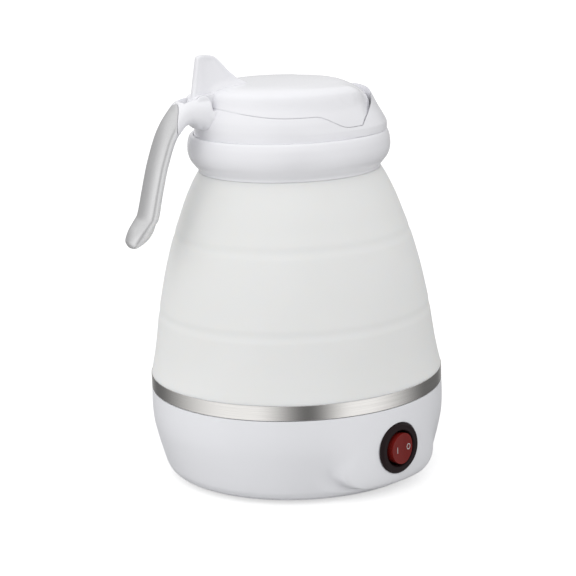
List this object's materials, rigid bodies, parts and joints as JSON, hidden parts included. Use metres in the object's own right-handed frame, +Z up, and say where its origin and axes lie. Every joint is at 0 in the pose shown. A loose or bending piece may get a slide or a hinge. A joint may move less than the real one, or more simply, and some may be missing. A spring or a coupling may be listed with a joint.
{
  "type": "collapsible kettle",
  "caption": "Collapsible electric travel kettle: silicone wall between a heated base with rocker switch and inlet and a rigid collar with spout, hinged lid and handle.",
  "frame": {"origin": "On the table surface at the kettle's upright axis, below the middle of the bottom cover, with the feet at z = 0.", "axes": "+Z up along the upright axis, +X towards the spout, -X towards the handle, +Y towards the mains inlet."},
  "size_m": [0.1421, 0.1316, 0.187],
  "materials": {
    "white_plastic": "smooth satin moulding, pale cool white",
    "liner_plastic": "plain moulded, white",
    "white_silicone": "food grade silicone, soft sheen, slightly translucent white",
    "silver_grip": "fine silver coat with a soft sheen",
    "stainless_steel": "brushed round the axis",
    "fastener_steel": "plain bright steel",
    "aluminium": "cast, matt",
    "brass": "stamped",
    "ceramic": "unglazed, cream",
    "black_plastic": "smooth black moulding",
    "red_rocker": "translucent dark red",
    "rubber": "grey rubber"
  },
  "bodies": {
    "base": {"base_shell": "white_plastic", "heating_plate": "stainless_steel", "plate_nut_1": "fastener_steel", "plate_nut_2": "fastener_steel", "plate_nut_3": "fastener_steel", "plate_nut_4": "fastener_steel", "plate_nut_5": "fastener_steel", "plate_nut_6": "fastener_steel", "bottom_cover": "white_plastic", "rubber_foot_1": "rubber", "rubber_foot_2": "rubber", "rubber_foot_3": "rubber", "rubber_foot_4": "rubber", "cover_screw_1": "fastener_steel", "cover_screw_2": "fastener_steel", "cover_screw_3": "fastener_steel", "cover_screw_4": "fastener_steel", "steel_band": "stainless_steel", "heat_spreader": "aluminium", "heating_element": "stainless_steel", "thermostat": "ceramic", "thermostat_screw_1": "fastener_steel", "thermostat_screw_2": "fastener_steel", "thermal_fuse": "ceramic", "switch_body": "black_plastic", "switch_terminal_1": "brass", "switch_terminal_2": "brass", "switch_terminal_3": "brass", "inlet_housing": "black_plastic", "inlet_pin_1": "brass", "inlet_pin_2": "brass", "inlet_pin_3": "brass", "silicone_body": "white_silicone"},
    "top": {"clamp_ring": "white_plastic", "handle_bracket": "white_plastic", "handle_grip": "silver_grip", "hinge_pin": "fastener_steel", "handle_screw_1": "fastener_steel", "handle_screw_2": "fastener_steel", "collar": "white_plastic"},
    "lid": {"lid": "white_plastic", "lid_liner": "liner_plastic", "lid_seal": "white_silicone"},
    "rocker": {"switch_rocker": "red_rocker"}
  },
  "joints": [
    {"name": "collapse", "type": "slide", "parent": "base", "child": "top", "axis": [0, 0, -1], "range_m": [0, 0.066], "deforming": ["silicone_body"]},
    {"name": "lid_hinge", "type": "hinge", "parent": "top", "child": "lid", "pos_m": [-0.0415, 0, 0.1674], "axis": [0, -1, 0], "range_deg": [0, 70]},
    {"name": "switch_rocker_turn", "type": "hinge", "parent": "base", "child": "rocker", "pos_m": [0.01836, -0.06006, 0.02086], "axis": [0, 0, -1], "range_deg": [0, 14]}
  ]
}
